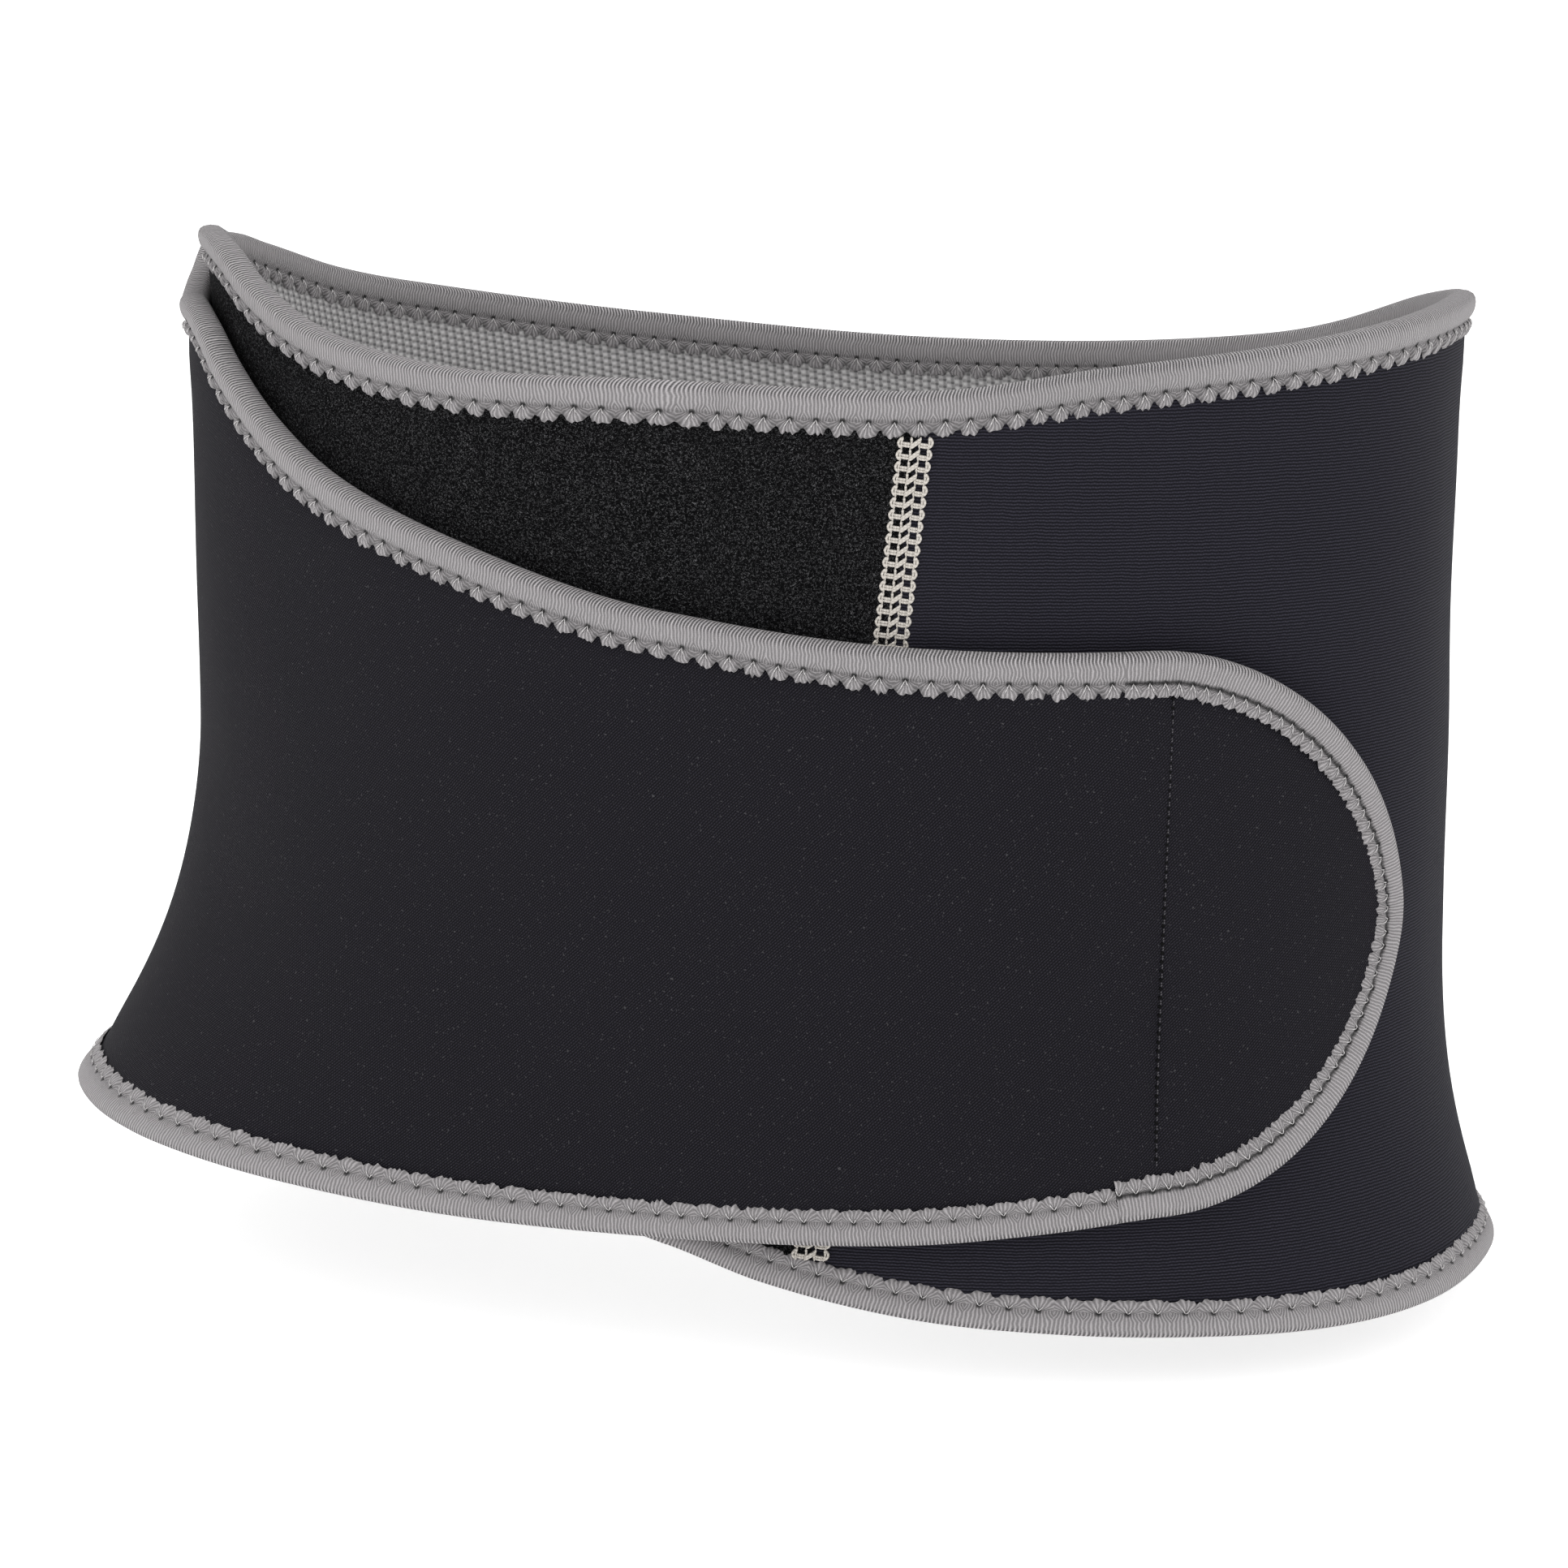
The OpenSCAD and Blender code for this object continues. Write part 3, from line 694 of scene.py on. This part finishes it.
def make_panels():
    """The five padded panels: knit or pile outside, lining inside, foam at the cut edges."""
    tab = np.concatenate([tip_columns(TAPE_EDGE)[::-1], strip_columns(-TAB_TURN, TAB_SPLIT)[1:]])
    knit, rib, pile = (TWILL, LINING, FOAM), (RIB_KNIT, LINING, FOAM), (PILE, LINING, FOAM)
    plans = (
        ("tab_panel", tab, "tab", "knit", knit, ("hook_tab_foam", "hook_tab_knit", "hook_tab_lining")),
        ("wing_panel", strip_columns(TAB_SPLIT, WING_SPLIT), "wing", "knit", knit,
         ("outer_wing_foam", "outer_wing_knit", "outer_wing_lining")),
        ("spine_panel", strip_columns(WING_SPLIT, SIDE_SPLIT), "back", "knit", knit,
         ("back_foam", "back_knit", "back_lining")),
        ("side_panel", strip_columns(SIDE_SPLIT, SEAM_TURN), "side", "knit", rib,
         ("inner_wing_foam", "side_knit")),
        ("pile_panel", strip_columns(SEAM_TURN, TAIL_TURN - 0.4), "loop", "loop_pile", pile,
         ("loop_panel", "inner_wing_lining")),
    )
    for name, columns, part, slot, finishes, nodes in plans:
        piece = slab(name, columns, outer_face, inner_face, finishes)
        attach(piece, part, slot, *nodes)


# Folded tape along the edges

# Half of the tape's section, from the end of its fringe to the fold, as (distance in from the edge, proud)
SECTION = (
    (10.0, -0.15), (9.8, 0.2), (9.3, 0.5), (8.6, 0.68), (7.8, 0.68), (7.1, 0.42), (6.6, 0.08), (6.15, 0.34),
    (5.5, 0.74), (4.6, 1.05), (3.6, 1.2), (2.6, 1.18), (1.6, 0.92), (0.8, 0.4), (0.25, -0.55), (0.0, -2.1),
)


class EdgePath:
    """A line along the strip's edge, with the way in to the fabric at each point."""

    def __init__(self, turns, heights, step=0.5, start=0.0, rounding=0.0):
        s, z = length_at(turns), np.asarray(heights, float)
        run = np.r_[0, np.cumsum(np.hypot(np.diff(s), np.diff(z)))]
        self.count = int(round(run[-1] / step)) + 1
        self.run = np.linspace(0, run[-1], self.count)
        self.s, self.z = np.interp(self.run, run, s), np.interp(self.run, run, z)
        if rounding:
            self.s, self.z = self.rounded(self.s, rounding), self.rounded(self.z, rounding)
        ds, dz = np.gradient(self.s), np.gradient(self.z)
        length = np.hypot(ds, dz)
        self.ns, self.nz = -dz / length, ds / length
        self.run = self.run + start

    def rounded(self, values, reach):
        half = int(3 * reach)
        weights = np.exp(-(np.arange(-half, half + 1) / reach) ** 2)
        padded = np.pad(values, half, mode="reflect", reflect_type="odd")
        return np.convolve(padded, weights / weights.sum(), mode="valid")

    def flipped(self):
        self.ns, self.nz = -self.ns, -self.nz
        return self

    def part(self, turn_a, turn_b):
        """A copy of the path between two turns."""
        i, j = sorted(int(np.argmin(np.abs(self.s - length_at(t)))) for t in (turn_a, turn_b))
        cut = object.__new__(EdgePath)
        for key in ("run", "s", "z", "ns", "nz"):
            setattr(cut, key, getattr(self, key)[i:j + 1])
        cut.count = j + 1 - i
        return cut

    def place(self, run, inwards, out):
        """Points beside the path, in metres, at distances along it, in from it and outwards."""
        s, z, ns, nz = (np.interp(run, self.run, v) for v in (self.s, self.z, self.ns, self.nz))
        return wall(turn_at(s + ns * inwards), z + nz * inwards, out)


def scallop(run, pitch):
    """1 at the middle of each gather and 0 between gathers."""
    across = (np.mod(run / pitch, 1) - 0.5) * pitch
    return np.sqrt(np.clip(1 - (across / (0.4 * pitch)) ** 4, 0, 1))


def tape(name, path, finish, pitch, depth=1.4, narrow=TOP_REACH, fray=0.26):
    """The tape's outer leg, fold and inner leg, gathered at that pitch, depth deep between gathers."""
    inwards, proud = np.array(SECTION).T
    inwards = np.r_[inwards, inwards[-2::-1]][None, :]
    sign = np.r_[np.ones(len(SECTION)), -np.ones(len(SECTION) - 1)][None, :]
    proud = np.r_[proud, proud[-2::-1]][None, :]
    run = path.run[:, None]
    puff = scallop(run, pitch)
    fringe = np.clip((inwards - FRINGE_LINE) / (TAPE_WIDTH - FRINGE_LINE), 0, 1)
    chance = np.random.default_rng(int(path.count))
    reach = TAPE_WIDTH - FRINGE_LINE - depth * (1 - puff) + chance.normal(0, fray, path.count)[:, None]
    inwards = np.where(inwards > FRINGE_LINE, FRINGE_LINE + fringe * reach, inwards)
    proud = np.where(fringe > 0, proud * (0.35 + 0.8 * puff), proud)
    proud = proud + 0.07 * np.sin(run / 7.3 + 2 * np.sin(run / 17)) * (proud > 0.3)
    out = np.where(sign > 0, proud, -LAMINATE - 0.8 * proud)
    points = path.place(run, inwards * narrow + 0 * run, out).reshape(-1, 3)
    weave = np.stack(np.broadcast_arrays(run, sign * inwards), axis=-1).reshape(-1, 2) * MM
    faces = grid_faces(path.count, inwards.shape[1])
    piece = make_piece(name, points, faces, weave, [finish], sharp=180)
    return face_outwards(piece, path)


def face_outwards(piece, path):
    """Turns the faces over where they look inwards."""
    middle = piece.data.polygons[len(piece.data.polygons) // 2 // len(SECTION) * len(SECTION) + 4]
    inside = Vector(path.place(path.run[path.count // 2], 6.0, -LAMINATE / 2))
    if (middle.center - inside).dot(middle.normal) < 0:
        piece.data.flip_normals()
    return piece


def fan_threads(name, path, pitch, narrow=TOP_REACH):
    """Two short threads out of each gather's hole, on the outer leg and on the inner one."""
    first = math.ceil(path.run[0] / pitch - 0.5)
    last = math.floor(path.run[-1] / pitch - 0.5)
    hole = (np.arange(first, last + 1) + 0.5)[:, None] * pitch
    t = np.linspace(0, 1, 5)[None, :]
    lines = []
    for side in (1, -1):
        for lean, reach in ((-0.7, 1.3), (0.9, 2.0)):
            out = 0.15 + 0.85 * np.sin(math.pi * (0.08 + 0.6 * t))
            out = out if side > 0 else -LAMINATE - out
            lines.append(path.place(hole + lean * t, (FRINGE_LINE + reach * t) * narrow, out + 0 * hole))
    return tubes(name, np.concatenate(lines), 0.11, TAPE_THREAD, 5)


def tip_path():
    """The edge round the tab, from the top of its line to the bottom."""
    angle = np.linspace(0, math.pi, 721)
    power = 2 / TIP_FULLNESS
    turn = -TAB_TURN - TAB_REACH * np.sin(angle) ** power
    z = TIP_MIDDLE + TIP_HALF * signed_power(np.cos(angle), power)
    before = np.linspace(TAB_SPLIT, -TAB_TURN, 9)[:-1]
    turn = np.r_[before, turn, before[::-1]]
    z = np.r_[top_at(before), z, bottom_at(before[::-1])]
    return EdgePath(turn, z, rounding=6)


def make_tape(part, label, path, finish, pitch, depth=1.4, narrow=TOP_REACH, nodes=()):
    """One length of tape with the threads of its gathers."""
    attach(tape(f"{label}_tape", path, finish, pitch, depth, narrow), part, "tape", *nodes)
    attach(fan_threads(f"{label}_fan_threads", path, pitch, narrow), part, "thread")


def make_tapes():
    turns = np.arange(TAB_SPLIT, TAIL_TURN + 0.01, 0.25)
    edges = (
        ("top", EdgePath(turns, top_at(turns)).flipped(), TAPE, 1.4, TOP_REACH),
        ("bottom", EdgePath(turns, bottom_at(turns)), HEM_TAPE, 0.6, HEM_REACH),
    )
    spans = (
        ("wing", TAB_SPLIT, WING_SPLIT, "outer_wing"), ("back", WING_SPLIT, SIDE_SPLIT, "back"),
        ("side", SIDE_SPLIT, SEAM_TURN, None), ("loop", SEAM_TURN, TAIL_TURN, "inner_wing"),
    )
    for edge, whole, finish, depth, narrow in edges:
        for part, start, end, body in spans:
            nodes = [f"{body}_{edge}_binding"] if body else []
            path = whole.part(start, end)
            make_tape(part, f"{part}_{edge}", path, finish, GATHER_PITCH, depth, narrow, nodes)
    make_tape("tab", "tip", tip_path(), TIP_TAPE, TIP_GATHER_PITCH, 0.5, nodes=["hook_tab_binding"])
    z = np.linspace(bottom_at(TAIL_TURN) + TAPE_WIDTH - 3, top_at(TAIL_TURN) - TAPE_WIDTH + 5, 400)
    end = EdgePath(np.full(len(z), TAIL_TURN), z)
    make_tape("loop", "tail", end, TAPE, GATHER_PITCH, nodes=["inner_wing_end_binding"])


# Seam, patch, stays and their pockets

def seam_lines():
    """The threads of the flat seam: two rows of chain on each side, and bars across the middle."""
    pitch = SEAM_PITCH
    low = float(bottom_at(SEAM_TURN)) + TAPE_WIDTH - 2
    high = float(top_at(SEAM_TURN)) - TAPE_WIDTH + 2
    rows = low + pitch * np.arange(int((high - low) / pitch))[:, None]
    t = np.linspace(0, 1, 7)[None, :]
    hump = np.sin(math.pi * t)
    centre = length_at(SEAM_TURN)
    shapes = []
    for side in (-1, 1):
        for shift in (0.0, 0.52):
            x = side * mix(1.0, 2.75, t)
            shapes.append((x, rows + shift + 0.5 + 0.2 * side * t, 0.35 + 0.35 * hump))
        x = side * (2.75 + 0.85 * hump)
        shapes.append((x, rows + pitch * t, 0.25 + 0.2 * hump))
        x = side * (2.75 + 0.2 * hump)
        shapes.append((x, rows + pitch * t, 0.6 - 0.3 * hump))
        shapes.append((side * (1.0 - 0.15 * hump), rows + pitch * t, 0.55 - 0.25 * hump))
    for shift in (0.0, 0.5):
        shapes.append((mix(1.05, -1.05, t), rows + shift + mix(0.0, 1.6, t), 0.4 + 0.3 * hump))
    lines = []
    for x, z, out in shapes:
        x, z, out = np.broadcast_arrays(x, z, out + 0 * rows)
        lines.append(wall(turn_at(centre + x), z, out))
    return np.concatenate(lines)


def make_seam():
    seam = tubes("flat_seam_threads", seam_lines(), 0.28, THREAD, 6)
    attach(seam, "loop", "thread", "flatlock_seam")


def make_patch():
    """The grip inside the tab, and the line of stitches that holds it, seen from outside."""
    patch = slab(
        "hook_grip", tip_columns(TAPE_WIDTH + 1)[::-1],
        lambda turn, z: -LAMINATE - 0.1 + 0 * z, lambda turn, z: -LAMINATE - 1.1 + 0 * z,
        (HOOKS, HOOKS, HOOKS),
    )
    attach(patch, "tab", "hook", "hook_patch")
    low, high = TIP_MIDDLE - TIP_HALF + TAPE_WIDTH + 1, TIP_MIDDLE + TIP_HALF - TAPE_WIDTH - 1
    rows = np.arange(low, high, PATCH_STITCH_PITCH)[:, None]
    t = np.linspace(0, 1, 5)[None, :]
    z = rows + PATCH_STITCH * t
    lines = wall(stitch_turn(z), z, -0.2 + 0.22 * np.sin(math.pi * t) + 0 * rows)
    attach(tubes("patch_stitches", lines, 0.15, DARK_THREAD, 5), "tab", "thread", "hook_patch_stitching")
    # Painted shade: near-black tubes sunk in the gaps between stitches stand for the shade where the thread
    # pulls in
    z = mix(rows + PATCH_STITCH, rows + PATCH_STITCH_PITCH, t)
    lines = wall(stitch_turn(z) + 0.04, z, -0.42 + 0 * z)
    attach(tubes("patch_stitch_gap_shade", lines, 0.42, HOLE_SHADE, 6), "tab", "thread")


def make_pockets():
    """Crowned knit channels over the stays, sewn down along both sides."""
    z_share = np.linspace(0, 1, 50)[None, :]
    edge, edge_lift = np.array([9.5, POCKET_STITCH_LINE, 7.5, 6.9]), np.array([0.15, 0.7, 1.4, 2.1])
    x = np.r_[-edge, np.linspace(-6.3, 6.3, 9), edge[::-1]]
    lift = np.r_[edge_lift, 2.3 + 0.6 * np.cos(np.linspace(-1.4, 1.4, 9)), edge_lift[::-1]]
    closed = np.sin(np.minimum(1, 20 * np.minimum(z_share, 1 - z_share)) * math.pi / 2)
    lift = edge_lift[0] + (lift[:, None] - edge_lift[0]) * closed
    points, weave, faces, stitches = [], [], [], []
    for turn in STAY_TURNS:
        turns = turn_at(length_at(turn) + x)[:, None]
        low, high = bottom_at(turns) + TAPE_WIDTH - 4, top_at(turns) - TAPE_WIDTH + 3
        z = mix(low, high, z_share)
        faces.append(grid_faces(len(x), z_share.size, sum(len(p) for p in points)))
        points.append(wall(turns, z, lift).reshape(-1, 3))
        weave.append(np.stack(np.broadcast_arrays(length_at(turns), z), axis=-1).reshape(-1, 2) * MM)
        for side in (-POCKET_STITCH_LINE, POCKET_STITCH_LINE):
            at = turn_at(length_at(turn) + side)
            low, high = float(bottom_at(at)) + 13, float(top_at(at)) - 14
            rows = np.arange(low, high, POCKET_STITCH_PITCH)[:, None]
            t = np.linspace(0, 1, 5)[None, :]
            stitches.append(wall(at, rows + 1.9 * t, 0.55 + 0.25 * np.sin(math.pi * t) + 0 * rows))
    points, faces, weave = np.concatenate(points), np.concatenate(faces)[:, ::-1], np.concatenate(weave)
    pocket = make_piece("stay_pockets", points, faces, weave, [TWILL], sharp=180)
    attach(pocket, "back", "knit", "stay_casings")
    attach(tubes("pocket_stitches", np.concatenate(stitches), 0.18, DARK_THREAD, 5), "back", "thread")


def finish_stays():
    for i in range(len(STAY_TURNS)):
        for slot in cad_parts[f"stay_{i + 1}"].material_slots:
            slot.material = STAY


# Floor, light and camera

def make_stage():
    lowest = cad_box[0][2]
    bpy.ops.mesh.primitive_plane_add(size=60, location=(0, 0, lowest - 0.0005))
    floor = bpy.context.object
    floor.name = "floor"
    floor.data.materials.append(floor_paper())
    world = bpy.data.worlds.new("studio")
    bpy.context.scene.world = world
    world.use_nodes = True
    world.node_tree.nodes["Background"].inputs["Color"].default_value = (1, 1, 1, 1)
    world.node_tree.nodes["Background"].inputs["Strength"].default_value = 1.0
    lights = (
        ("key_light", (-0.5, -1.7, 1.3), 1.4, 6), ("fill_light", (1.6, -1.2, 0.9), 1.4, 4),
        ("top_light", (0.1, -0.4, 1.7), 1.2, 7),
    )
    for name, place, size, power in lights:
        data = bpy.data.lights.new(name, "AREA")
        data.shape, data.size, data.energy = "SQUARE", size, power
        light = bpy.data.objects.new(name, data)
        bpy.context.scene.collection.objects.link(light)
        light.location = place
        light.rotation_euler = (-Vector(place)).to_track_quat("-Z", "Y").to_euler()


def make_camera():
    azimuth, elevation, distance = math.radians(20), math.radians(12), 1.0
    target = Vector((-0.0104, 0, 0))
    level = math.cos(elevation)
    back = Vector((math.sin(azimuth) * level, -math.cos(azimuth) * level, math.sin(elevation)))
    data = bpy.data.cameras.new("camera")
    data.lens, data.sensor_width = 99.7, 36
    data.clip_end = 50
    camera = bpy.data.objects.new("camera", data)
    bpy.context.scene.collection.objects.link(camera)
    camera.location = target + back * distance
    camera.rotation_euler = back.to_track_quat("Z", "Y").to_euler()
    bpy.context.scene.camera = camera
    bpy.context.scene.view_settings.view_transform = "Standard"


make_camera()
make_stage()
make_panels()
make_tapes()
make_seam()
make_patch()
make_pockets()
finish_stays()

bpy.context.view_layer.update()
